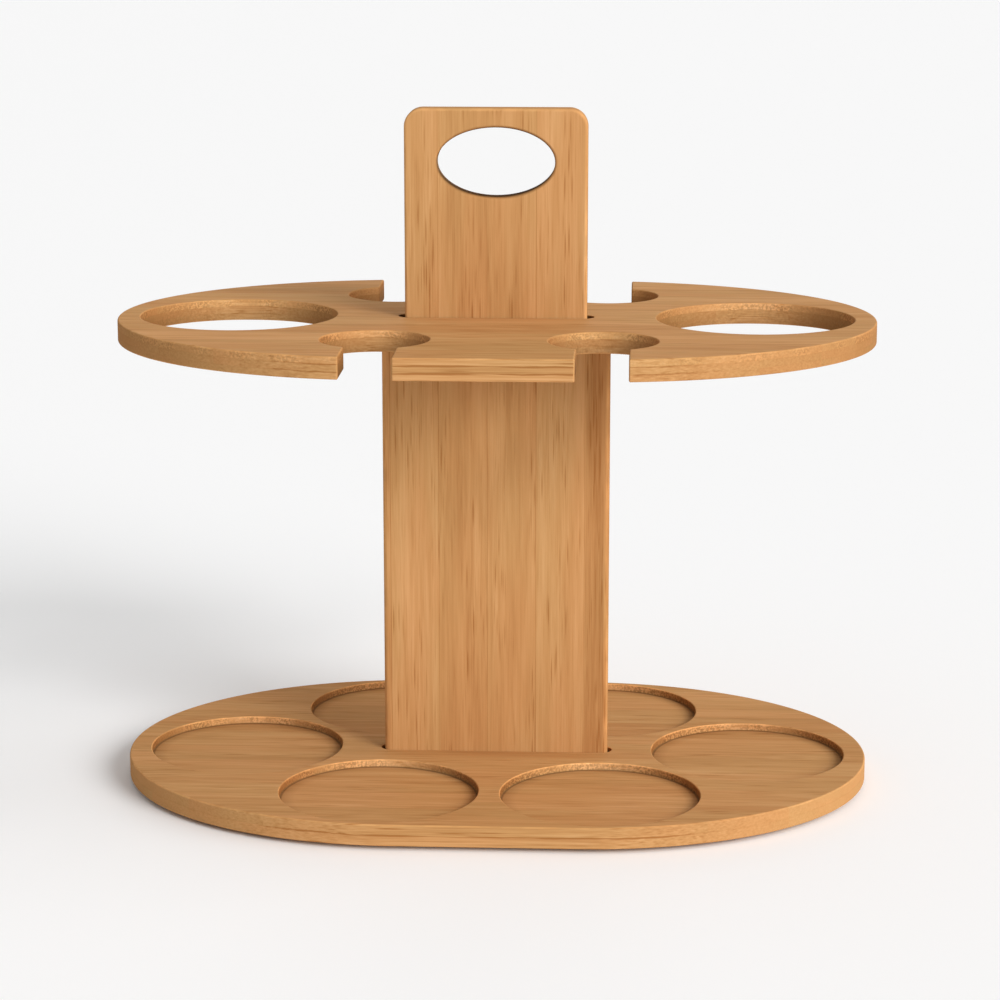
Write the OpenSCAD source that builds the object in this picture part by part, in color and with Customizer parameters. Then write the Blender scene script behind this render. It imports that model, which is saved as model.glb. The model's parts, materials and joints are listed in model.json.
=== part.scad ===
// Bamboo caddy for two bottles and four glasses or mugs.
// An oval base with six shallow seats carries one upright board. An oval shelf slides down over the
// upright's narrow top, which is the carrying handle, and rests on its two shoulders.
// Units are millimetres. +Z is up, X runs along the boards, and the origin is on the floor at the middle.

/* [Boards] */
// Length of the oval base and shelf
board_l = 350; // [340:1:380]
// Front-to-back depth of the oval base and shelf
board_d = 230; // [226:1:250]
// How far each half-elliptical end reaches out from the straight edges
end_reach = 134; // [120:1:150]
// Thickness of all three boards
board_t = 10; // [9:0.5:14]

/* [Upright] */
// Width of the upright below the shelf
upright_w = 106; // [100:1:112]
// Height of the shelf's top above the base's top
shelf_rise = 208.5; // [180:0.5:260]
// Width of the handle above the shelf
handle_w = 84; // [78:1:90]
// Height of the handle above the shelf
handle_h = 96; // [80:1:120]
// Corner radius at the top of the handle
handle_r = 8.5; // [4:0.5:16]
// Radius of the upright's long edges below the shelf
edge_r = 2.5; // [2:0.1:3]
// Radius of the handle's long edges
handle_edge_r = 1.5; // [1.2:0.1:3]
// Width of the oval finger hole
grip_w = 54; // [44:1:62]
// Height of the oval finger hole
grip_h = 31.5; // [24:0.5:36]
// Distance from the handle's top to the middle of the finger hole
grip_drop = 24.5; // [22:0.5:36]

/* [Bottle and glass places] */
// Diameter of the bottle holes and of all six seats in the base
seat_bore = 91; // [84:1:91]
// Depth of the seats in the base
seat_depth = 3.5; // [2:0.5:4]
// Distance from the middle to each bottle, along X
bottle_x = 119.5; // [117:0.5:121]
// Distance from the middle to each glass, along X
glass_x = 50.5; // [49:0.5:52]
// Distance from the middle to each glass, along Y
glass_y = 66.5; // [66:0.5:67]
// Diameter of the round pockets in the shelf, above the glasses
pocket_bore = 48.5; // [40:0.5:49]
// Width of the slots that lead a stem into the pockets
stem_slot_w = 23; // [14:1:24]

/* [Joinery] */
// Depth of the mortise that holds the upright in the base
mortise_depth = 6; // [4:0.5:6]
// Room around the upright in the mortise
mortise_fit = 0.1; // [0.05:0.05:0.2]
// Room around the handle in the shelf's slot
shelf_fit = 0.3; // [0.3:0.05:0.5]
// How far the mortise's round ends pass the upright's edges
mortise_end = 1.9; // [1.9:0.1:3]
// How far the slot's round ends pass the handle's edges
shelf_slot_end = 3.2; // [3.2:0.1:4]

/* [Screws] */
// Distance from the middle to each screw
screw_x = 32; // [20:1:44]
// Thread diameter
screw_d = 4; // [3:0.5:4]
// Head diameter
screw_head_d = 7.6; // [6.4:0.2:8]
// Length including the head
screw_l = 34; // [25:1:45]

/* [Pads] */
// Diameter of the rubber pads under the base
pad_d = 16; // [12:1:20]
// Height of the pads
pad_h = 2; // [1:0.5:4]
// Distance from the middle to each pad, along X
pad_x = 118; // [90:1:130]
// Distance from the middle to each pad, along Y
pad_y = 58; // [40:1:70]

/* [Hidden] */

$fn = 96;
bamboo = [0.80, 0.59, 0.37];
bamboo_end = [0.76, 0.55, 0.34];
zinc = [0.75, 0.76, 0.78];
rubber = [0.16, 0.16, 0.17];

end_steps = 48;      // straight steps around each half-elliptical end
grip_steps = 96;     // straight steps around the finger hole
cut = 1;             // how far a cutting shape passes the face that it opens
pilot_fit = 0.05;    // room around the screw's thread in the upright
clear_fit = 0.25;    // room around the screw in the base
head_flare = 1.8;    // height of the screw's conical head
head_rim = 0.4;      // height of the screw head's straight rim
point_l = 5;         // length of the screw's point
drive_l = 4.4;       // length of each arm of the cross recess
drive_w = 0.9;       // width of each arm of the cross recess
drive_depth = 1.4;   // depth of the cross recess
pad_bevel = 0.5;     // bevel around the pad's sole

base_top = pad_h + board_t;
shelf_top = base_top + shelf_rise;
shelf_bottom = shelf_top - board_t;
handle_top = shelf_top + handle_h;
upright_bottom = base_top - mortise_depth;

// Points of the boards' outline: a half ellipse at each end, joined by the straight edges
function oval_points() = [
    for (side = [1, -1], i = [0 : end_steps])
        let (a = -90 + 180 * i / end_steps)
            side * [board_l / 2 - end_reach + end_reach * cos(a), board_d / 2 * sin(a)]
];

// Points of an ellipse around the origin
function ellipse_points(w, h, steps) = [
    for (i = [0 : steps - 1]) [w / 2 * cos(360 * i / steps), h / 2 * sin(360 * i / steps)]
];

// Draws its children at both bottles
module at_bottles() {
    for (sx = [-1, 1]) translate([sx * bottle_x, 0, 0]) children();
}

// Draws its children at all four glasses, turned so that +Y points out of the board
module at_glasses() {
    for (sx = [-1, 1], sy = [-1, 1])
        translate([sx * glass_x, sy * glass_y, 0]) rotate([0, 0, sy < 0 ? 180 : 0]) children();
}

module oval_board() {
    linear_extrude(board_t) polygon(oval_points());
}

// A straight cutter with round ends, of overall length l and width w
module round_slot(l, w, h) {
    translate([-(l - w) / 2, -w / 2, 0]) cube([l - w, w, h]);
    for (sx = [-1, 1]) translate([sx * (l - w) / 2, 0, 0]) cylinder(h = h, d = w);
}

// A post of the upright's thickness with long edges of radius r
module edged_post(w, r, z_from, z_to) {
    translate([0, 0, z_from]) linear_extrude(z_to - z_from) union() {
        square([w - 2 * r, board_t], center = true);
        square([w, board_t - 2 * r], center = true);
        for (sx = [-1, 1], sy = [-1, 1])
            translate([sx * (w / 2 - r), sy * (board_t / 2 - r)]) circle(r);
    }
}

// A block through the board's thickness from an outline in X and Z
module through_y() {
    rotate([90, 0, 0]) linear_extrude(board_t + 2 * cut, center = true) children();
}

// The upright's face, seen from the front, with the handle's two round corners
module upright_face() {
    corner_x = handle_w / 2 - handle_r;
    corner_z = handle_top - handle_r;
    translate([-upright_w / 2, upright_bottom]) square([upright_w, corner_z - upright_bottom]);
    translate([-corner_x, corner_z]) square([2 * corner_x, handle_r]);
    for (sx = [-1, 1]) translate([sx * corner_x, corner_z]) circle(handle_r);
}

// Stands a screw on its head at its place under the base, point up
module at_screw(side) {
    translate([side * screw_x, 0, pad_h]) children();
}

module base_board() {
    color(bamboo) difference() {
        translate([0, 0, pad_h]) oval_board();
        translate([0, 0, base_top - seat_depth]) {
            at_bottles() cylinder(h = seat_depth + cut, d = seat_bore);
            at_glasses() cylinder(h = seat_depth + cut, d = seat_bore);
        }
        translate([0, 0, upright_bottom])
            round_slot(upright_w + 2 * mortise_end, board_t + 2 * mortise_fit, mortise_depth + cut);
        for (side = [-1, 1]) at_screw(side) {
            translate([0, 0, -cut]) cylinder(h = board_t, d = screw_d + 2 * clear_fit);
            translate([0, 0, -cut]) cylinder(h = head_rim + cut, d = screw_head_d + 2 * clear_fit);
            translate([0, 0, head_rim]) cylinder(
                h = head_flare, d1 = screw_head_d + 2 * clear_fit, d2 = screw_d + 2 * clear_fit);
        }
    }
}

module upright_board() {
    color(bamboo) difference() {
        intersection() {
            union() {
                edged_post(upright_w, edge_r, upright_bottom, shelf_bottom);
                edged_post(handle_w, handle_edge_r, shelf_bottom, handle_top);
            }
            through_y() upright_face();
        }
        through_y() translate([0, handle_top - grip_drop])
            polygon(ellipse_points(grip_w, grip_h, grip_steps));
        for (side = [-1, 1]) at_screw(side) cylinder(h = screw_l + cut, d = screw_d + 2 * pilot_fit);
    }
}

module shelf_board() {
    color(bamboo_end) translate([0, 0, shelf_bottom]) difference() {
        oval_board();
        translate([0, 0, -cut]) {
            at_bottles() cylinder(h = board_t + 2 * cut, d = seat_bore);
            at_glasses() {
                cylinder(h = board_t + 2 * cut, d = pocket_bore);
                translate([-stem_slot_w / 2, 0, 0]) cube([stem_slot_w, board_d / 2, board_t + 2 * cut]);
            }
            round_slot(handle_w + 2 * shelf_slot_end, board_t + 2 * shelf_fit, board_t + 2 * cut);
        }
    }
}

module base_screw(side) {
    color(zinc) at_screw(side) difference() {
        union() {
            cylinder(h = head_rim, d = screw_head_d);
            translate([0, 0, head_rim]) cylinder(h = head_flare, d1 = screw_head_d, d2 = screw_d);
            translate([0, 0, head_rim + head_flare])
                cylinder(h = screw_l - head_rim - head_flare - point_l, d = screw_d);
            translate([0, 0, screw_l - point_l]) cylinder(h = point_l, d1 = screw_d, d2 = screw_d / 8);
        }
        for (turn = [45, 135]) rotate([0, 0, turn])
            translate([-drive_l / 2, -drive_w / 2, -cut]) cube([drive_l, drive_w, drive_depth + cut]);
    }
}

module foot_pad(sx, sy) {
    color(rubber) translate([sx * pad_x, sy * pad_y, 0]) {
        cylinder(h = pad_bevel, d1 = pad_d - 2 * pad_bevel, d2 = pad_d);
        translate([0, 0, pad_bevel]) cylinder(h = pad_h - pad_bevel, d = pad_d);
    }
}

base_board();
upright_board();
shelf_board();
base_screw(-1);  // base_screw_left
base_screw(1);  // base_screw_right
foot_pad(-1, -1);  // foot_pad_front_left
foot_pad(1, -1);  // foot_pad_front_right
foot_pad(-1, 1);  // foot_pad_back_left
foot_pad(1, 1);  // foot_pad_back_right
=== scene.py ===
"""The looks of a bamboo caddy for two bottles and four glasses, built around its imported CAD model.

The three boards are rebuilt here with rounded edges and their real openings, the pads are turned with soft
rims, and every piece gets a procedural material. Lengths are in metres, +Z is up, X runs along the boards,
and the origin is on the floor under the middle of the object.
"""

import json
import math

import bmesh
import bpy
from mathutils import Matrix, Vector


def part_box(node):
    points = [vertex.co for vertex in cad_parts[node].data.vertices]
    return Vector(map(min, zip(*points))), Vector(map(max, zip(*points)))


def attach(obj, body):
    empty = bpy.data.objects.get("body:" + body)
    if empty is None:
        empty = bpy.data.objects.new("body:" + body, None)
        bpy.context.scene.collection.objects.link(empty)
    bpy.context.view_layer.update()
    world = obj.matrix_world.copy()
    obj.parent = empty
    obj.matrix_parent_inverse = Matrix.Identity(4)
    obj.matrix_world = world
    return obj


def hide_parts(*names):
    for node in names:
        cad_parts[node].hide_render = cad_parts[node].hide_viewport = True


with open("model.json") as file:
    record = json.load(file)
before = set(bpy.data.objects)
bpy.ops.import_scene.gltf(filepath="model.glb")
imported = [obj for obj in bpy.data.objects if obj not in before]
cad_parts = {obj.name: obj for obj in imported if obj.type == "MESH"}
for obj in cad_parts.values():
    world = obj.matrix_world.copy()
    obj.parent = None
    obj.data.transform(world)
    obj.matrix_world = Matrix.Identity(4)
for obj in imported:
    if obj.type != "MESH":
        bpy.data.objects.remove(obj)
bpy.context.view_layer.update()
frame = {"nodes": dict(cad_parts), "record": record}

MM = 0.001

# Shapes of the boards that no box or mount of the frame gives
END_REACH = 134 * MM        # how far each half-elliptical end reaches out from the straight edges
STEM_SLOT_W = 23 * MM       # width of the slots that lead a stem into a pocket
SHOULDER = 11 * MM          # how far the handle's sides stand in from the upright's
HANDLE_R = 8.5 * MM         # corner radius at the top of the handle
GRIP_W = 54 * MM            # width of the oval finger hole
GRIP_H = 31.5 * MM          # height of the oval finger hole
GRIP_DROP = 24.5 * MM       # from the handle's top to the middle of the finger hole
MORTISE_END = 1.9 * MM      # how far the mortise's round ends pass the upright's edges
MORTISE_FIT = 0.1 * MM      # room around the upright in the mortise
SHELF_SLOT_END = 3.2 * MM   # how far the shelf slot's round ends pass the handle's edges
SHELF_FIT = 0.3 * MM        # room around the handle in the shelf's slot

# The screws' countersunk holes under the base
SCREW_X = 32 * MM           # from the middle to each screw
HEAD_R = 4.05 * MM          # radius of the head's recess
THREAD_R = 2.25 * MM        # radius of the clearance hole
HEAD_RIM = 0.4 * MM         # height of the recess's straight rim
HEAD_FLARE = 1.8 * MM       # height of its cone

# How the edges are finished
BOARD_EDGE = 0.8 * MM       # radius around the boards' outlines
RIM_EDGE = 0.6 * MM         # radius around the holes and seats
SLOT_EDGE = 0.35 * MM       # radius around the mortise and the handle's slot
UPRIGHT_EDGE = 2.5 * MM     # radius of the upright's long edges below the shelf
HANDLE_EDGE = 1.5 * MM      # radius around the handle
JOINT_EDGE = 0.3 * MM       # radius around the shoulders and around the foot in the mortise
TIP_EDGE = 1.0 * MM         # radius at a shoulder's outer corner
TIP_FADE = 6.0 * MM         # how far below that corner the long edges start to sharpen
GRIP_EDGE = 1.4 * MM        # radius around the finger hole
SEAT_COVE = 0.6 * MM        # fillet around the floor of a seat
MORTISE_COVE = 0.1 * MM     # fillet around the floor of the mortise
CORNER_REACH = 1.0 * MM     # from an outline's corner to where its rounding starts
SEAT_FADE = 7.0 * MM        # how far the painted shade at a seat wall's foot fades out over the floor
MORTISE_FADE = 0.5 * MM     # the same for the mortise's wall
FOOT_REACH = 2.4            # from a wall to the floor beside its foot, in fillets
FOOT_SHADE = 0.32           # how dark the painted shade on the floor is there
LOWER_SHADE = 0.45          # how dark the painted shade on a bottle hole's wall is at its lower rim
POCKET_SHADE = 0.55         # how dark the painted shade on a stem pocket's wall is at its lower rim
WALL_SHADE = 0.15           # how dark the painted shade on a seat's wall is above its fillet
SEAT_WEAR_AND_HIGHLIGHT = 2.4             # how worn the seats' rims are, with their painted highlight; other edges are 1
ROUTED_ROUGH = 0.8          # how rough the walls of the holes are, where a seat's wall is 1
WING_ROUGH = 0.50           # how rough the shelf's curved ends are
WING_START = 51 * MM        # where those ends start, beyond the tab

PAD_EDGE = 0.6 * MM         # radius around a pad
PAD_DISH = 0.25 * MM        # depth of the dish in its sole
# Steps from the sole into its dish: how far in, as a part of the radius, and how deep, in PAD_DISH
DISH_STEPS = ((0.3, 0.0), (0.36, 0.3), (0.42, 0.8), (0.5, 1.0))

END_STEPS = 128             # straight steps around a half-elliptical end
HOLE_STEPS = 144            # straight steps around a round or oval hole
ARC_STEP = math.radians(4)  # largest step around a smaller arc
EDGE_STEPS = 6              # bands across a rounded edge
CORNER_STEPS = 8            # straight steps around an outline's rounded corner
CORNER_TURN = math.radians(25)  # least turn of an outline that is a corner
SHARP_TURN = math.radians(35)   # least turn between two faces that stays sharp

MOUNTS = {mount["name"]: mount for mount in frame["record"]["mounts"]}
BASE_LOW, BASE_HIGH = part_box("base_board")
SHELF_LOW, SHELF_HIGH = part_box("shelf_board")
UPRIGHT_LOW, UPRIGHT_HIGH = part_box("upright_board")
HALF_L = BASE_HIGH.x
HALF_D = BASE_HIGH.y
HALF_T = UPRIGHT_HIGH.y
STRAIGHT = HALF_L - END_REACH
HANDLE_X = UPRIGHT_HIGH.x - SHOULDER


# ---------------------------------------------------------------- outlines
# A loop is a closed list of plan points that has the board on its left: outlines run anticlockwise and
# holes run clockwise.

def mount_point(name):
    """Where a mount is on the plan."""
    return Vector(MOUNTS[name]["pos_m"][:2])


def mount_radius(name):
    """The radius of a hole that a mount describes."""
    return MOUNTS[name]["dims"]["r_mm"] * MM


def arc(centre, radius, start, end):
    """Points of an arc from one angle to another, both ends included."""
    steps = max(2, math.ceil(abs(end - start) / ARC_STEP))
    angles = [start + (end - start) * i / steps for i in range(steps + 1)]
    return [centre + radius * Vector((math.cos(a), math.sin(a))) for a in angles]


def oval_hole(centre, half_w, half_h):
    """An ellipse or a circle, run clockwise."""
    angles = [-2 * math.pi * i / HOLE_STEPS for i in range(HOLE_STEPS)]
    return [centre + Vector((half_w * math.cos(a), half_h * math.sin(a))) for a in angles]


def round_hole(name):
    """The hole that a mount describes."""
    radius = mount_radius(name)
    return oval_hole(mount_point(name), radius, radius)


def slot_hole(half_l, half_w):
    """A straight slot with round ends, run clockwise."""
    centre = Vector((half_l - half_w, 0))
    quarter = math.pi / 2
    return arc(centre, half_w, quarter, -quarter) + arc(-centre, half_w, -quarter, -3 * quarter)


def end_points(reach_angle):
    """Points along the right half-elliptical end, from the front to the back."""
    angles = [reach_angle * (2 * i / END_STEPS - 1) for i in range(END_STEPS + 1)]
    return [Vector((STRAIGHT + END_REACH * math.cos(a), HALF_D * math.sin(a))) for a in angles]


def base_outline():
    """The oval base: one end, and the same end turned by half a turn."""
    half = end_points(math.pi / 2)
    return half + [-point for point in half]


def keyhole(centre, radius, y_in, y_out):
    """The way into a stem pocket from the board's back edge, round the pocket and out again."""
    half = STEM_SLOT_W / 2
    meet = math.acos(half / radius)
    way_in = Vector((centre.x + half, y_in))
    way_out = Vector((centre.x - half, y_out))
    return [way_in] + arc(centre, radius, meet, -math.pi - meet) + [way_out]


def shelf_outline():
    """The oval shelf with its four stem pockets. One half is the right end and the back, and the other half
    is the same, turned by half a turn."""
    right = mount_point("stem_pocket_back_right")
    left = mount_point("stem_pocket_back_left")
    radius = mount_radius("stem_pocket_back_right")
    wing_x = right.x + STEM_SLOT_W / 2
    wing_angle = math.acos((wing_x - STRAIGHT) / END_REACH)
    wing_y = HALF_D * math.sin(wing_angle)
    half = end_points(wing_angle)
    half += keyhole(right, radius, wing_y, HALF_D)[1:]
    half += keyhole(left, radius, HALF_D, wing_y)[:-1]
    return soften(half + [-point for point in half], CORNER_REACH)


def in_keyhole(point):
    """1 where a point of the shelf's outline is on the wall of a stem pocket, inside the oval, else 0."""
    past = max(0.0, abs(point.x) - STRAIGHT)
    oval_y = HALF_D * math.sqrt(max(0.0, 1 - (past / END_REACH) ** 2))
    return 1.0 if abs(point.y) < oval_y - CORNER_REACH else 0.0


def outline_rough(point):
    """How rough the shelf's outline is at a point: most on the walls of the stem pockets, less on the curved
    ends, and not at all elsewhere."""
    on_end = WING_ROUGH if abs(point.x) > WING_START else 0.0
    return max(ROUTED_ROUGH * in_keyhole(point), on_end)


def upright_outline():
    """The upright's face in X and Z, and the radius of its edges at each point: the wide post, its two
    shoulders and the handle's round corners."""
    foot_z = UPRIGHT_LOW.z
    shoulder_z = SHELF_LOW.z
    right = [
        (UPRIGHT_HIGH.x, foot_z, JOINT_EDGE),
        (UPRIGHT_HIGH.x, foot_z + UPRIGHT_EDGE, UPRIGHT_EDGE),
        (UPRIGHT_HIGH.x, shoulder_z - TIP_FADE, UPRIGHT_EDGE),
        (UPRIGHT_HIGH.x, shoulder_z, TIP_EDGE),
        (UPRIGHT_HIGH.x - SHOULDER / 2, shoulder_z, JOINT_EDGE),
        (HANDLE_X, shoulder_z, JOINT_EDGE),
        (HANDLE_X, shoulder_z + UPRIGHT_EDGE, HANDLE_EDGE),
    ]
    corner = Vector((HANDLE_X - HANDLE_R, UPRIGHT_HIGH.z - HANDLE_R))
    right += [(p.x, p.y, HANDLE_EDGE) for p in arc(corner, HANDLE_R, 0, math.pi / 2)]
    around = right + [(-x, z, radius) for x, z, radius in reversed(right)]
    return [Vector((x, z)) for x, z, _ in around], [radius for _, _, radius in around]


def turn_at(loop, i):
    """The angle by which a loop turns at one of its points."""
    before = loop[i] - loop[i - 1]
    after = loop[(i + 1) % len(loop)] - loop[i]
    return before.angle(after)


def walk(loop, start, step, reach):
    """The point at a distance along a loop from one of its points, and how many points it passes."""
    here = loop[start]
    passed = 0
    while True:
        there = loop[(start + step * (passed + 1)) % len(loop)]
        length = (there - here).length
        if length >= reach:
            return here.lerp(there, reach / length), passed
        reach -= length
        here = there
        passed += 1


def soften(loop, reach):
    """Rounds each corner of a loop by a curve that starts and ends at a distance reach from it."""
    count = len(loop)
    curves = {}
    dropped = set()
    for i in range(count):
        if turn_at(loop, i) < CORNER_TURN:
            continue
        first, before = walk(loop, i, -1, reach)
        last, after = walk(loop, i, 1, reach)
        dropped.update((i + k) % count for k in range(-before, after + 1))
        steps = [k / CORNER_STEPS for k in range(CORNER_STEPS + 1)]
        curves[i] = [first.lerp(loop[i], t).lerp(loop[i].lerp(last, t), t) for t in steps]
    kept = [curves.get(i, [] if i in dropped else [loop[i]]) for i in range(count)]
    return [point for points in kept for point in points]


def at_each(loop, value):
    """A value for each point of a loop, from one for all or a list."""
    return value if isinstance(value, list) else [value] * len(loop)


def inset_loop(loop, insets):
    """Moves a loop sideways into its board, by one distance or by a list of them."""
    moved = []
    for i, (point, inset) in enumerate(zip(loop, at_each(loop, insets))):
        before = (point - loop[i - 1]).normalized()
        after = (loop[(i + 1) % len(loop)] - point).normalized()
        inward = Vector((-before.y - after.y, before.x + after.x))
        moved.append(point + inward * (inset / (1 + before.dot(after))))
    return moved


# ---------------------------------------------------------------- boards as meshes

class Shell:
    """A board's mesh, gathered as rings of points, bands of faces between rings, and flat caps.

    place turns a point on the plan and a height above it into a place in the object's frame. Each point has
    three marks. wear is how worn it is, which is most on a rounded edge, and it also paints a highlight
    there. shade is painted shade, at the feet of pockets and on the walls of holes. rough is how rough the
    router left it.
    """

    def __init__(self, place):
        self.place = place
        self.points = []
        self.marks = {"wear": [], "shade": [], "rough": []}
        self.faces = []
        self.caps = []

    def ring(self, loop, heights, **marks):
        """Adds a loop of points and returns their numbers. Heights and marks are one value or a list."""
        first = len(self.points)
        self.points += [self.place(p.x, p.y, height) for p, height in zip(loop, at_each(loop, heights))]
        for name, values in self.marks.items():
            values += at_each(loop, marks.get(name, 0.0))
        return list(range(first, len(self.points)))

    def bands(self, rings):
        """Joins each ring to the next one."""
        for upper, lower in zip(rings, rings[1:]):
            for i in range(len(upper)):
                j = (i + 1) % len(upper)
                self.faces.append((upper[i], lower[i], lower[j], upper[j]))

    def edge(self, loop, height, radius, towards, shade=0.0, rough=0.0, wear=1.0):
        """Rings over a rounded edge, from the flat face to the wall. towards is -1 below a top face and 1
        above an underside. shade is the painted shade on the wall at this edge, rough how rough it is, and
        wear how worn the edge is at its middle, which also paints a highlight there."""
        rings = []
        radii = at_each(loop, radius)
        for k in range(EDGE_STEPS + 1):
            angle = math.pi / 2 * k / EDGE_STEPS
            insets = [r * (1 - math.sin(angle)) for r in radii]
            levels = [height + towards * r * (1 - math.cos(angle)) for r in radii]
            part = k / EDGE_STEPS
            shades = [part * value for value in at_each(loop, shade)]
            around = inset_loop(loop, insets)
            worn_and_lit = wear * math.sin(2 * angle)
            rings.append(self.ring(around, levels, wear=worn_and_lit, shade=shades, rough=rough))
        return rings

    def wall(self, loop, top, bottom, radius, shades=(0.0, 0.0), rough=0.0):
        """A wall through the whole board, rounded at both faces. Returns its rings on the two faces."""
        upper = self.edge(loop, top, radius, -1, shades[0], rough)
        lower = self.edge(loop, bottom, radius, 1, shades[1], rough)
        rings = upper + lower[::-1]
        self.bands(rings)
        return rings[0], rings[-1]

    def pocket(self, loop, top, floor, radius, cove, fade):
        """A blind pocket with a rounded rim and a filleted floor, and painted shade at its foot and as far
        as fade beyond it. Returns its rings on the face and the floor."""
        rings = self.edge(loop, top, radius, -1, rough=1.0, wear=SEAT_WEAR_AND_HIGHLIGHT)
        for k in range(EDGE_STEPS + 1):
            angle = math.pi / 2 * k / EDGE_STEPS
            inset = -cove * (1 - math.cos(angle))
            level = floor + cove * (1 - math.sin(angle))
            shade = WALL_SHADE + (1 - WALL_SHADE) * math.sin(angle)
            rings.append(self.ring(inset_loop(loop, inset), level, shade=shade, rough=math.cos(angle)))
        rings.append(self.ring(inset_loop(loop, -FOOT_REACH * cove), floor, shade=FOOT_SHADE))
        rings.append(self.ring(inset_loop(loop, -fade), floor))
        self.bands(rings)
        return rings[0], rings[-1]

    def cap(self, *rings):
        """Fills the flat face between an outline and its holes."""
        self.caps.append(rings)

    def build(self, name):
        """Makes the mesh object."""
        mesh = bpy.data.meshes.new(name)
        mesh.from_pydata(self.points, [], self.faces)
        for label, values in self.marks.items():
            attribute = mesh.attributes.new(label, "FLOAT", "POINT")
            attribute.data.foreach_set("value", values)
        work = bmesh.new()
        work.from_mesh(mesh)
        work.verts.ensure_lookup_table()
        for rings in self.caps:
            ends = [(ring[i - 1], ring[i]) for ring in rings for i in range(len(ring))]
            edges = [work.edges.get((work.verts[a], work.verts[b])) for a, b in ends]
            bmesh.ops.triangle_fill(work, use_beauty=True, edges=edges)
        bmesh.ops.recalc_face_normals(work, faces=work.faces)
        work.to_mesh(mesh)
        work.free()
        return shaded(name, mesh)


def shaded(name, mesh):
    """An object with smooth faces, sharp where they meet at a real corner."""
    mesh.shade_smooth()
    mesh.set_sharp_from_angle(angle=SHARP_TURN)
    piece = bpy.data.objects.new(name, mesh)
    bpy.context.scene.collection.objects.link(piece)
    weighted = piece.modifiers.new("even_faces", "WEIGHTED_NORMAL")
    weighted.keep_sharp = True
    return piece


def plan_place(u, v, w):
    """The boards that lie flat are drawn on the plan."""
    return (u, v, w)


def face_place(u, v, w):
    """The upright is drawn as seen from the front, with its thickness along -Y."""
    return (u, -w, v)


def seat_loops():
    """The six round seats in the base, as wide as the shelf's bottle holes."""
    radius = mount_radius("bottle_hole_left")
    names = [name for name in MOUNTS if "_seat_" in name]
    return [oval_hole(mount_point(name), radius, radius) for name in names]


def screw_recess(shell, side, bottom, top):
    """A countersunk hole for a base screw. Returns its rings on the underside and the mortise's floor."""
    centre = Vector((side * SCREW_X, 0))
    levels = [
        (HEAD_R, bottom),
        (HEAD_R, bottom + HEAD_RIM),
        (THREAD_R, bottom + HEAD_RIM + HEAD_FLARE),
        (THREAD_R, top),
    ]
    rings = [shell.ring(oval_hole(centre, radius, radius), level) for radius, level in levels]
    shell.bands(rings)
    return rings[0], rings[-1]


def make_base():
    """The oval base with its six seats, the mortise for the upright and the screws' holes."""
    shell = Shell(plan_place)
    top = BASE_HIGH.z
    bottom = BASE_LOW.z
    seat_floor = MOUNTS["bottle_seat_left"]["pos_m"][2]
    above, below = shell.wall(base_outline(), top, bottom, BOARD_EDGE)
    top_rings = [above]
    for loop in seat_loops():
        rim, floor = shell.pocket(loop, top, seat_floor, RIM_EDGE, SEAT_COVE, SEAT_FADE)
        top_rings.append(rim)
        shell.cap(floor)
    half_l = UPRIGHT_HIGH.x + MORTISE_END
    half_w = HALF_T + MORTISE_FIT
    mortise = slot_hole(half_l, half_w)
    rim, floor = shell.pocket(mortise, top, UPRIGHT_LOW.z, SLOT_EDGE, MORTISE_COVE, MORTISE_FADE)
    top_rings.append(rim)
    recesses = [screw_recess(shell, side, bottom, UPRIGHT_LOW.z) for side in (-1, 1)]
    shell.cap(*top_rings)
    shell.cap(below, *[low for low, _ in recesses])
    shell.cap(floor, *[high for _, high in recesses])
    return shell.build("base_board_bamboo")


def make_shelf():
    """The oval shelf with its bottle holes, its stem pockets and the handle's slot."""
    shell = Shell(plan_place)
    top = SHELF_HIGH.z
    bottom = SHELF_LOW.z
    slot = slot_hole(HANDLE_X + SHELF_SLOT_END, HALF_T + SHELF_FIT)
    outline = shelf_outline()
    routed = [outline_rough(point) for point in outline]
    # painted shade on the lower walls of the stem pockets
    dark = [POCKET_SHADE * in_keyhole(point) for point in outline]
    walls = [shell.wall(outline, top, bottom, BOARD_EDGE, (0.0, dark), routed)]
    for name in ("bottle_hole_left", "bottle_hole_right"):
        hole = round_hole(name)
        # painted shade on the lower walls of the bottle holes
        walls.append(shell.wall(hole, top, bottom, RIM_EDGE, (0.0, LOWER_SHADE), ROUTED_ROUGH))
    # painted shade on the walls of the handle's slot
    walls.append(shell.wall(slot, top, bottom, SLOT_EDGE, (1.0, 1.0), ROUTED_ROUGH))
    shell.cap(*[above for above, _ in walls])
    shell.cap(*[below for _, below in walls])
    return shell.build("shelf_board_bamboo")


def make_upright():
    """The upright with its shoulders, its handle and the oval finger hole."""
    shell = Shell(face_place)
    grip = oval_hole(Vector((0, UPRIGHT_HIGH.z - GRIP_DROP)), GRIP_W / 2, GRIP_H / 2)
    outline, radii = upright_outline()
    walls = [
        shell.wall(outline, HALF_T, -HALF_T, radii),
        # painted shade on the finger hole's wall
        shell.wall(grip, HALF_T, -HALF_T, GRIP_EDGE, (1.0, 1.0), ROUTED_ROUGH),
    ]
    shell.cap(*[front for front, _ in walls])
    shell.cap(*[back for _, back in walls])
    return shell.build("upright_board_bamboo")


def make_pad(node):
    """A turned rubber pad with soft rims and a shallow dish in its sole."""
    low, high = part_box(node)
    centre = Vector(((low.x + high.x) / 2, (low.y + high.y) / 2))
    radius = (high.x - low.x) / 2
    shell = Shell(plan_place)
    loop = oval_hole(centre, radius, radius)[::-1]
    top, sole = shell.wall(loop, high.z, low.z, PAD_EDGE)
    inner = []
    for inward, depth in DISH_STEPS:
        inner.append(shell.ring(inset_loop(loop, radius * inward), low.z + PAD_DISH * depth))
    shell.bands([sole] + inner)
    shell.cap(top)
    shell.cap(inner[-1])
    return shell.build(node + "_rubber")


# ---------------------------------------------------------------- materials

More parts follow.
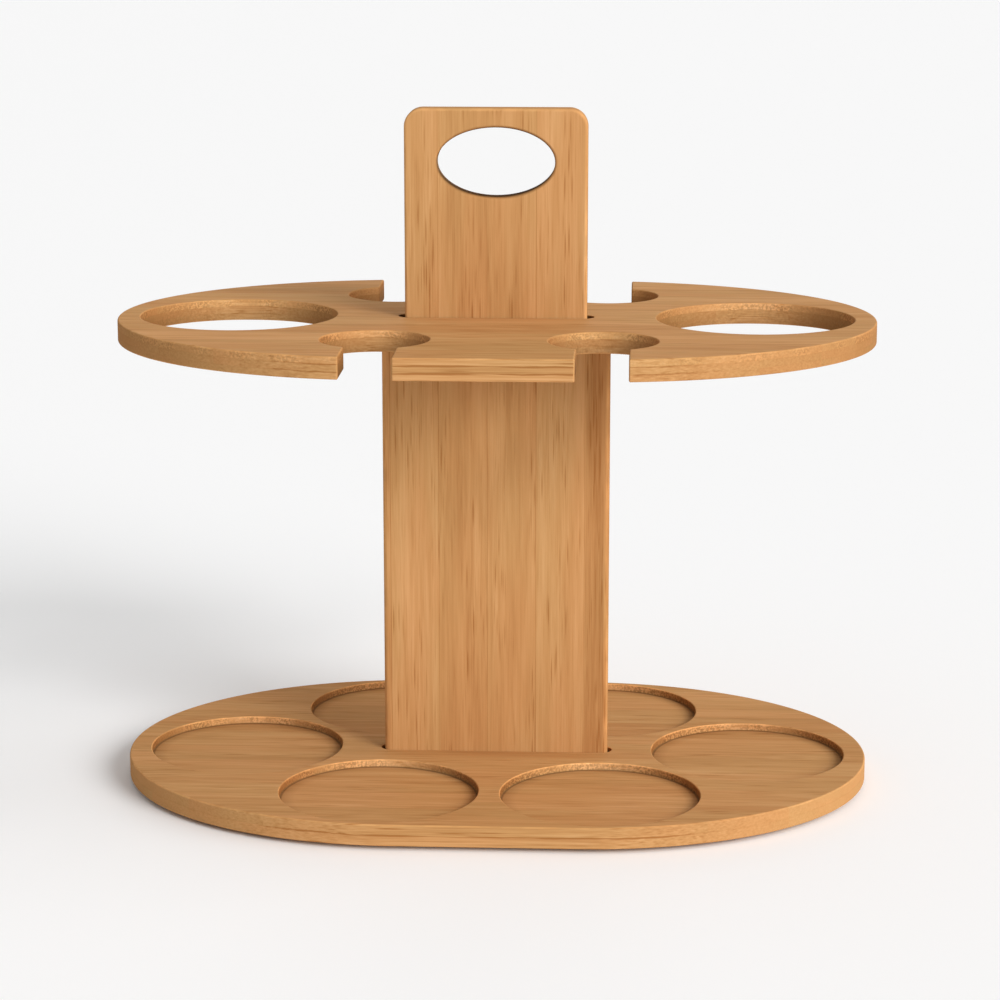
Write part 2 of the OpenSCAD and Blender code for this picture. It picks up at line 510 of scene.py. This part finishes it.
class Graph:
    """A material's node tree, with short calls for the nodes that the materials here use."""

    def __init__(self, name):
        self.material = bpy.data.materials.new(name)
        self.material.use_nodes = True
        self.tree = self.material.node_tree
        self.shader = self.tree.nodes["Principled BSDF"]

    def feed(self, socket, value):
        """Links a socket to another one, or sets its value."""
        if isinstance(value, bpy.types.NodeSocket):
            self.tree.links.new(value, socket)
        else:
            socket.default_value = value

    def node(self, kind, **inputs):
        """Adds a node and feeds the inputs that are named, with _ for a space."""
        node = self.tree.nodes.new(kind)
        for name, value in inputs.items():
            self.feed(node.inputs[name.replace("_", " ")], value)
        return node

    def math(self, operation, *values):
        """The result of a Math node."""
        node = self.tree.nodes.new("ShaderNodeMath")
        node.operation = operation
        for socket, value in zip(node.inputs, values):
            self.feed(socket, value)
        return node.outputs[0]

    def product(self, first, *others):
        """Several values multiplied."""
        result = first
        for value in others:
            result = self.math("MULTIPLY", result, value)
        return result

    def plus(self, base, value, part):
        """A base value, and a part of another value added to it."""
        return self.math("MULTIPLY_ADD", value, part, base)

    def centred(self, noise):
        """Noise that has 0 in its middle."""
        return self.math("SUBTRACT", noise, 0.5)

    def spread(self, value, low, high, to_low=0.0, to_high=1.0):
        """Maps low..high to to_low..to_high, smoothly, and holds the ends."""
        node = self.tree.nodes.new("ShaderNodeMapRange")
        node.interpolation_type = "SMOOTHSTEP"
        for socket, item in zip(node.inputs, (value, low, high, to_low, to_high)):
            self.feed(socket, item)
        return node.outputs[0]

    def vector(self, *parts):
        """A vector from its three parts."""
        node = self.tree.nodes.new("ShaderNodeCombineXYZ")
        for socket, part in zip(node.inputs, parts):
            self.feed(socket, part)
        return node.outputs[0]

    def noise(self, place, detail):
        """Noise with features about one unit across."""
        node = self.node("ShaderNodeTexNoise", Vector=place, Scale=1.0, Detail=detail, Roughness=0.5)
        return node.outputs[0]

    def scaled(self, colour, factor):
        """A colour made lighter or darker."""
        node = self.tree.nodes.new("ShaderNodeVectorMath")
        node.operation = "SCALE"
        self.feed(node.inputs[0], colour)
        self.feed(node.inputs["Scale"], factor)
        return node.outputs[0]

    def blended(self, factor, first, second, how="MIX"):
        """Two colours blended."""
        node = self.tree.nodes.new("ShaderNodeMix")
        node.data_type = "RGBA"
        node.blend_type = how
        self.feed(node.inputs[0], factor)
        self.feed(node.inputs[6], first)
        self.feed(node.inputs[7], second)
        return node.outputs[2]

    def ramp(self, value, stops, steps=False):
        """A colour ramp from (position, colour) stops. With steps, each colour holds to the next stop."""
        node = self.tree.nodes.new("ShaderNodeValToRGB")
        elements = node.color_ramp.elements
        node.color_ramp.interpolation = "CONSTANT" if steps else "LINEAR"
        elements[0].position, elements[1].position = stops[0][0], stops[-1][0]
        elements[0].color, elements[1].color = stops[0][1], stops[-1][1]
        for position, colour in stops[1:-1]:
            elements.new(position).color = colour
        self.feed(node.inputs[0], value)
        return node.outputs[0]

    def attribute(self, name):
        """One of the marks on the mesh's points."""
        node = self.tree.nodes.new("ShaderNodeAttribute")
        node.attribute_name = name
        return node.outputs["Fac"]

    def bump(self, height, strength, distance):
        """The surface's direction where a height makes it uneven."""
        node = self.node("ShaderNodeBump", Strength=strength, Distance=distance, Height=height)
        return node.outputs[0]

    def finish(self, **inputs):
        """Feeds the surface shader."""
        for name, value in inputs.items():
            self.feed(self.shader.inputs[name.replace("_", " ")], value)
        return self.material


# Bamboo, as (red, green, blue, alpha) of the bare surface. A tone is a place between these colours: 0 is
# the dark one, 0.5 the middle one and 1 the light one.
HONEY_DARK = (0.356, 0.153, 0.048, 1)
HONEY_MID = (0.526, 0.274, 0.107, 1)
HONEY_LIGHT = (0.668, 0.382, 0.175, 1)
TINT_WARM = (1.02, 0.985, 0.97, 1)
TINT_COOL = (0.985, 1.01, 1.00, 1)

STRIP_W = 22.7 * MM         # width of one bamboo strip in a board
SEAM_W = 0.30 * MM          # width of the dark line between two strips
GLUE_THIN = 0.2 * MM        # narrowest glue line between two plies
GLUE_W = 0.75 * MM          # widest glue line
GLUE_SWING = 1.4 * MM       # how far a glue line may sway from side to side
CHIP_SIZE = 1.0 * MM        # size of the chipped spots on a routed wall
CHIP_PATCH = 14 * MM        # size of the patches in which those spots are strong or faint
RIDGE = 0.12 * MM           # height of the ridges along the grain
LACQUER_GLINT = 0.006       # how strongly the thin lacquer mirrors the lights
STRIP_SHIFT = 97.0          # how far a pattern moves for a tone higher by 1, so that strips don't match
PLY_SHIFT = 7.3             # how far it moves from one ply to the next

# Streaks in the wood: their length along the grain, their width across it, and the detail of the noise
SOFT_STREAK = (130 * MM, 8 * MM, 2.0)
BAND_STREAK = (70 * MM, 4 * MM, 2.0)
FIBRE_STREAK = (46 * MM, 1.5 * MM, 3.0)
FINE_STREAK = (20 * MM, 0.6 * MM, 2.0)
LAYER_STREAK = (55 * MM, 0.8 * MM, 2.0)
PATCH_STREAK = (80 * MM, 10 * MM, 1.0)
HUE_STREAK = (120 * MM, 25 * MM, 2.0)
GLUE_SWAY = (26 * MM, 9 * MM, 3.0)
GLUE_GAPS = (30 * MM, 8 * MM, 2.0)
BUNDLE = (26 * MM, 1.35 * MM)

# How far each of these moves a tone
SOFT_TONE = 0.45
BAND_TONE = 0.40
FIBRE_TONE = 0.50
LAYER_TONE = 0.90
SEAM_TONE = -0.32
GLUE_TONE = -0.85
CUT_TONE = 0.25             # a routed wall, away from end grain
ROUTED_END_AND_SHADE_TONE = -0.50            # end grain on a routed wall, with painted shade at the ends of the holes

# How much lighter each of these makes the colour, as a part of it
CHIP_LIGHT = 0.52           # from the darkest to the lightest chipped spot
CUT_LIGHT = 0.16            # a routed wall
WEAR_AND_HIGHLIGHT_LIGHT = 0.23           # a worn rim, with a painted highlight along it
EDGE_LIGHT = -0.03          # any surface that isn't a face
END_LIGHT = -0.05           # end grain
ROUTED_END_AND_SHADE_LIGHT = -0.20    # routed end grain adds this, partly painted shade at the holes' ends
SHADE_LIGHT = -0.62         # painted shade in hollows, at the feet of walls and on the walls of holes

# How each board is glued up:
# - axes: which of X, Y and Z runs along the grain, across the strips and through the plies
# - seam: where one seam lies
# - low: the board's low side across the strips
# - tones: the tone of each strip from that side
# - ply_low, ply, top_ply: where the lowest ply starts, the thickness of a ply, where the highest ply starts
# - shift: where the board's patterns start
UPRIGHT_WOOD = {
    "name": "bamboo_upright",
    "axes": "ZXY",
    "seam": 41.4 * MM,
    "low": UPRIGHT_LOW.x,
    "tones": (0.47, 0.54, 0.46, 0.50, 0.58, 0.29),
    "ply_low": -HALF_T,
    "ply": HALF_T,
    "top_ply": 0.0,
    "shift": 0.0,
}
BASE_WOOD = {
    "name": "bamboo_base",
    "axes": "XYZ",
    "seam": 9.0 * MM,
    "low": -HALF_D,
    "tones": (0.48, 0.43, 0.52, 0.47, 0.54, 0.45, 0.50, 0.42, 0.49, 0.53, 0.46, 0.50),
    "ply_low": BASE_LOW.z,
    "ply": (BASE_HIGH.z - BASE_LOW.z) / 2,
    "top_ply": (BASE_HIGH.z + BASE_LOW.z) / 2,
    "shift": 3.1,
}
SHELF_WOOD = {
    "name": "bamboo_shelf",
    "axes": "XYZ",
    "seam": -4.0 * MM,
    "low": -HALF_D,
    "tones": (0.50, 0.45, 0.54, 0.43, 0.49, 0.52, 0.47, 0.55, 0.45, 0.51, 0.48, 0.53),
    "ply_low": SHELF_LOW.z,
    "ply": (SHELF_HIGH.z - SHELF_LOW.z) / 3,
    "top_ply": SHELF_HIGH.z - (SHELF_HIGH.z - SHELF_LOW.z) / 3,
    "shift": 7.7,
}


class Bamboo(Graph):
    """Sanded, carbonised bamboo under a thin satin lacquer, in a board glued up from strips and plies.

    along, across and deep say where a point is along the grain, across the strips and through the plies.
    end_grain is 1 where the surface faces along the grain, face is 1 where it faces through the plies, and
    edge_on is 1 where it doesn't. routed says how rough the router left it. rough is the same, but 0 on a
    face and less below the top ply. pale is 1 where such a wall is palest.
    """

    def __init__(self, wood):
        super().__init__(wood["name"])
        self.wood = wood
        coordinates = self.tree.nodes.new("ShaderNodeTexCoord")
        self.along, self.across, self.deep = self.by_grain(coordinates.outputs["Object"])
        facing_along, _, facing_deep = self.by_grain(coordinates.outputs["Normal"])
        self.end_grain = self.math("POWER", self.math("ABSOLUTE", facing_along), 1.5)
        self.face = self.math("ABSOLUTE", facing_deep)
        self.edge_on = self.spread(self.face, 0.3, 0.9, 1.0, 0.0)
        self.tone = self.strip_tone()
        self.shift = self.pattern_shift()
        self.routed = self.attribute("rough")
        self.rough = self.router_marks()
        self.pale = self.product(self.rough, self.rough)
        self.soft = self.streaks(SOFT_STREAK)
        self.fibre = self.streaks(FIBRE_STREAK)
        self.fine = self.streaks(FINE_STREAK)
        self.patch = self.spread(self.streaks(PATCH_STREAK), 0.42, 0.62)
        self.fleck = self.fibre_bundles()
        self.chips = self.even_noise(CHIP_SIZE, 1.0)

    def by_grain(self, vector):
        """A vector's parts along the grain, across the strips and through the plies."""
        split = self.node("ShaderNodeSeparateXYZ", Vector=vector)
        return [split.outputs[axis] for axis in self.wood["axes"]]

    def strip_tone(self):
        """The tone of the strip at a point."""
        tones = self.wood["tones"]
        seam = self.wood["seam"]
        first = seam - STRIP_W * math.ceil((seam - self.wood["low"]) / STRIP_W)
        strip = self.math("DIVIDE", self.math("SUBTRACT", self.across, first), STRIP_W * len(tones))
        stops = [(i / len(tones), (tone, tone, tone, 1)) for i, tone in enumerate(tones)]
        return self.ramp(strip, stops, steps=True)

    def pattern_shift(self):
        """How far the patterns are moved along the grain at a point, by its strip and its ply."""
        above = self.math("SUBTRACT", self.deep, self.wood["ply_low"])
        ply = self.math("FLOOR", self.math("DIVIDE", above, self.wood["ply"]))
        by_strip = self.plus(self.wood["shift"], self.tone, STRIP_SHIFT)
        return self.math("ADD", by_strip, self.math("MULTIPLY", ply, PLY_SHIFT))

    def router_marks(self):
        """How rough the wall of an opening is, which is most in the top ply."""
        top_ply = self.math("GREATER_THAN", self.deep, self.wood["top_ply"])
        return self.product(self.routed, self.edge_on, self.plus(0.25, top_ply, 0.75))

    def drawn_out(self, length, width, whole=False):
        """Where a point is in a pattern drawn out along the grain. The pattern changes from strip to strip
        and from ply to ply, unless it is whole."""
        shift = self.wood["shift"] if whole else self.shift
        deep = 0.0 if whole else self.deep
        moved = self.math("ADD", self.math("DIVIDE", self.along, length), shift)
        sideways = self.math("DIVIDE", self.across, width)
        return self.vector(moved, sideways, self.math("DIVIDE", deep, width))

    def streaks(self, shape, whole=False):
        """Noise drawn out along the grain."""
        length, width, detail = shape
        return self.noise(self.drawn_out(length, width, whole), detail)

    def even_noise(self, size, detail=2.0):
        """Noise with features of one size in every direction."""
        places = (self.along, self.across, self.deep)
        parts = [self.math("DIVIDE", place, size) for place in places]
        return self.noise(self.vector(*parts), detail)

    def fibre_bundles(self):
        """Dark spindles along the grain, stronger in patches and fainter on end grain."""
        cells = self.node("ShaderNodeTexVoronoi", Vector=self.drawn_out(*BUNDLE), Scale=1.0)
        near = self.spread(cells.outputs["Distance"], 0.08, 0.40, 1.0, 0.0)
        strength = self.plus(0.10, self.patch, 0.30)
        return self.product(near, strength, self.plus(1.0, self.end_grain, -0.65))

    def line_at(self, value, origin, pitch, width):
        """1 on the lines that repeat at a pitch, 0 beside them."""
        turns = self.math("DIVIDE", self.math("SUBTRACT", value, origin), pitch)
        beside = self.math("MULTIPLY", self.math("PINGPONG", turns, 0.5), pitch)
        return self.spread(beside, 0.0, width, 1.0, 0.0)

    def seams(self):
        """The fine dark lines between the strips, on a board's faces."""
        line = self.line_at(self.across, self.wood["seam"], STRIP_W, SEAM_W)
        return self.product(line, self.spread(self.soft, 0.35, 0.55, 0.3, 1.0), self.face)

    def glue_lines(self):
        """The uneven dark lines between the plies at the edges, faint on end grain and routed walls."""
        sway = self.centred(self.streaks(GLUE_SWAY, whole=True))
        gaps = self.streaks(GLUE_GAPS, whole=True)
        width = self.spread(gaps, 0.35, 0.65, GLUE_THIN, GLUE_W)
        swayed = self.plus(self.deep, sway, GLUE_SWING)
        line = self.line_at(swayed, self.wood["ply_low"], self.wood["ply"], width)
        broken = self.spread(gaps, 0.30, 0.50, 0.3, 1.0)
        off_end = self.spread(self.end_grain, 0.02, 0.30, 1.0, 0.10)
        return self.product(line, broken, self.edge_on, off_end, self.plus(1.0, self.routed, -0.80))

    def face_tone(self):
        """The tone of a sanded face: its strip, streaks, fibre bundles and seams, calmer on end grain."""
        tone = self.plus(self.tone, self.centred(self.soft), SOFT_TONE)
        tone = self.plus(tone, self.centred(self.streaks(BAND_STREAK)), BAND_TONE)
        tone = self.plus(tone, self.centred(self.fibre), FIBRE_TONE)
        tone = self.plus(tone, self.centred(self.fine), self.plus(0.20, self.patch, 0.35))
        tone = self.math("SUBTRACT", tone, self.fleck)
        tone = self.plus(tone, self.seams(), SEAM_TONE)
        calm = self.spread(self.end_grain, 0.0, 0.40, 1.0, 0.25)
        return self.plus(0.5, self.centred(tone), calm)

    def edge_tone(self, tone):
        """What a board's edges and openings add: dark end grain, partly painted shade in the holes, paler
        cuts, glue lines and fine layers.
        """
        off_end = self.math("SUBTRACT", 1.0, self.end_grain)
        tone = self.plus(tone, self.product(self.end_grain, self.routed), ROUTED_END_AND_SHADE_TONE)
        tone = self.plus(tone, self.product(self.pale, off_end), CUT_TONE)
        tone = self.plus(tone, self.glue_lines(), GLUE_TONE)
        layers = self.centred(self.streaks(LAYER_STREAK))
        return self.plus(tone, self.product(self.edge_on, off_end, layers), LAYER_TONE)

    def light(self):
        """How much lighter the surface is than its tone. Chips and worn rims with a painted highlight are
        lighter. End grain, with painted shade at the ends of the holes, is darker, and so is the painted
        shade in hollows and on the walls of holes."""
        patches = self.spread(self.even_noise(CHIP_PATCH), 0.40, 0.60, 0.25, 1.0)
        chips = self.spread(self.chips, 0.36, 0.64, -0.5, 0.5)
        worn_and_lit = self.product(self.attribute("wear"), self.spread(patches, 0.25, 1.0, 0.35, 1.0))
        light = self.product(patches, CHIP_LIGHT, self.rough, chips)
        light = self.plus(light, self.pale, CUT_LIGHT)
        light = self.plus(light, worn_and_lit, WEAR_AND_HIGHLIGHT_LIGHT)
        light = self.plus(light, self.end_grain, self.plus(END_LIGHT, self.routed, ROUTED_END_AND_SHADE_LIGHT))
        light = self.plus(light, self.edge_on, EDGE_LIGHT)
        return self.plus(light, self.attribute("shade"), SHADE_LIGHT)

    def colour(self):
        """The colour of the surface."""
        tone = self.edge_tone(self.face_tone())
        colour = self.ramp(tone, [(0.0, HONEY_DARK), (0.5, HONEY_MID), (1.0, HONEY_LIGHT)])
        hue = self.spread(self.streaks(HUE_STREAK), 0.35, 0.65)
        colour = self.blended(1.0, colour, self.blended(hue, TINT_WARM, TINT_COOL), "MULTIPLY")
        return self.scaled(colour, self.math("ADD", self.light(), 1.0))

    def relief(self):
        """The ridges of the grain, the hollows of the fibre bundles and the router's chips."""
        height = self.plus(self.product(self.fibre, 0.8), self.fine, 0.6)
        height = self.plus(height, self.product(self.chips, self.rough), 0.9)
        height = self.plus(height, self.fleck, -1.5)
        return self.bump(height, 0.35, RIDGE)

    def mattness(self):
        """How matt the lacquer is, which is most on end grain."""
        return self.plus(self.plus(0.50, self.fine, 0.14), self.end_grain, 0.12)


def bamboo(wood):
    """The bamboo of one board."""
    board = Bamboo(wood)
    return board.finish(
        Base_Color=board.colour(),
        Roughness=board.mattness(),
        Normal=board.relief(),
        Specular_IOR_Level=LACQUER_GLINT,
    )


RUBBER_BLACK = (0.020, 0.020, 0.021, 1)
RUBBER_DUST = (0.055, 0.053, 0.050, 1)
RUBBER_GRAIN = 2600.0       # grains in a metre
RUBBER_CLOUD = 240.0        # dusty patches in a metre


def rubber():
    """Matt moulded rubber with a fine grain and a little dust on its rims."""
    graph = Graph("rubber_pad")
    place = graph.tree.nodes.new("ShaderNodeTexCoord").outputs["Object"]
    grain = graph.noise(graph.scaled(place, RUBBER_GRAIN), 3.0)
    cloud = graph.noise(graph.scaled(place, RUBBER_CLOUD), 2.0)
    dusty = graph.plus(graph.spread(cloud, 0.3, 0.8, 0.0, 0.5), graph.attribute("wear"), 0.25)
    return graph.finish(
        Base_Color=graph.blended(dusty, RUBBER_BLACK, RUBBER_DUST),
        Roughness=graph.plus(0.66, grain, 0.2),
        Normal=graph.bump(grain, 0.4, 0.08 * MM),
    )


ZINC_DULL = (0.52, 0.53, 0.56, 1)
ZINC_BRIGHT = (0.70, 0.70, 0.71, 1)
ZINC_CLOUD = 900.0          # duller patches in a metre
ZINC_MARKS = 5200.0         # turning marks in a metre
FLOOR_WHITE = (0.97, 0.97, 0.97, 1)


def zinc():
    """Bright zinc plating with faint turning marks and duller patches."""
    graph = Graph("zinc_plate")
    place = graph.tree.nodes.new("ShaderNodeTexCoord").outputs["Object"]
    cloud = graph.noise(graph.scaled(place, ZINC_CLOUD), 3.0)
    marks = graph.noise(graph.scaled(place, ZINC_MARKS), 2.0)
    return graph.finish(
        Base_Color=graph.blended(graph.spread(cloud, 0.3, 0.7), ZINC_DULL, ZINC_BRIGHT),
        Metallic=1.0,
        Roughness=graph.plus(0.22, cloud, 0.25),
        Normal=graph.bump(marks, 0.25, 0.03 * MM),
    )


def pale_floor():
    """The plain floor."""
    graph = Graph("pale_floor")
    return graph.finish(Base_Color=FLOOR_WHITE, Roughness=0.9)


# ---------------------------------------------------------------- the object

def dress(piece, material, body, slot, *nodes):
    """Gives a piece its material and body, and hides the CAD nodes it stands for. slot is not used."""
    piece.data.materials.clear()
    piece.data.materials.append(material)
    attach(piece, body)
    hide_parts(*nodes)


def make_object():
    """Every piece of the caddy, riding on its CAD body."""
    dress(make_base(), bamboo(BASE_WOOD), "stand", "bamboo", "base_board")
    dress(make_upright(), bamboo(UPRIGHT_WOOD), "stand", "bamboo", "upright_board")
    dress(make_shelf(), bamboo(SHELF_WOOD), "shelf", "bamboo", "shelf_board")
    pad_material = rubber()
    screw_material = zinc()
    for name in sorted(frame["nodes"]):
        if name.startswith("foot_pad"):
            dress(make_pad(name), pad_material, "stand", "rubber", name)
        if name.startswith("base_screw"):
            screw = frame["nodes"][name]
            screw.data.materials.clear()
            screw.data.materials.append(screw_material)


# ---------------------------------------------------------------- floor, light and camera

FLOOR_REACH = 20.0          # from the origin to each side of the floor
WORLD_STRENGTH = 0.45       # of the even light from all round
CAMERA_PLACE = (0.0674, -1.3341, 0.4329)
CAMERA_TARGET = (0.0017, 0.0, 0.1334)
CAMERA_LENS = 105.1         # focal length in millimetres
CAMERA_SENSOR = 36          # width of the sensor in millimetres

# Each softbox: its azimuth, its elevation and how wide it looks, in degrees, and its strength. Azimuth 0
# comes from the front and 90 from the right.
LIGHTS = {
    "key": (45, 24, 30, 2.67),
    "side": (90, 36, 44, 0.85),
    "behind": (180, 14, 30, 0.22),
}


def make_floor():
    """A wide plain floor under the object."""
    mesh = bpy.data.meshes.new("floor")
    signs = ((-1, -1), (1, -1), (1, 1), (-1, 1))
    corners = [(x * FLOOR_REACH, y * FLOOR_REACH, 0) for x, y in signs]
    mesh.from_pydata(corners, [], [(0, 1, 2, 3)])
    mesh.materials.append(pale_floor())
    floor = bpy.data.objects.new("floor", mesh)
    bpy.context.scene.collection.objects.link(floor)


def aim(thing, place, target):
    """Puts a camera or a light at a place and points it at a target, upright."""
    thing.location = place
    thing.rotation_euler = (Vector(target) - Vector(place)).to_track_quat("-Z", "Y").to_euler()


def soft_light(name, azimuth, elevation, spread, strength):
    """Even light from a wide softbox far away."""
    data = bpy.data.lights.new(name, "SUN")
    data.angle = math.radians(spread)
    data.energy = strength
    light = bpy.data.objects.new(name, data)
    bpy.context.scene.collection.objects.link(light)
    turn = math.radians(azimuth)
    rise = math.radians(elevation)
    place = (math.sin(turn) * math.cos(rise), -math.cos(turn) * math.cos(rise), math.sin(rise))
    aim(light, place, (0, 0, 0))


def make_lights():
    """White light all round, and the softboxes."""
    world = bpy.data.worlds.new("studio")
    world.use_nodes = True
    background = world.node_tree.nodes["Background"]
    background.inputs["Color"].default_value = (1.0, 1.0, 1.0, 1)
    background.inputs["Strength"].default_value = WORLD_STRENGTH
    bpy.context.scene.world = world
    for name, (azimuth, elevation, spread, strength) in LIGHTS.items():
        soft_light(name, azimuth, elevation, spread, strength)


def make_camera():
    """The photograph's viewpoint: a little right of the middle, above the handle and tilted down."""
    data = bpy.data.cameras.new("camera")
    data.sensor_width = CAMERA_SENSOR
    data.lens = CAMERA_LENS
    camera = bpy.data.objects.new("camera", data)
    bpy.context.scene.collection.objects.link(camera)
    aim(camera, CAMERA_PLACE, CAMERA_TARGET)
    bpy.context.scene.camera = camera


make_object()
make_floor()
make_lights()
make_camera()
bpy.context.scene.view_settings.view_transform = "Standard"
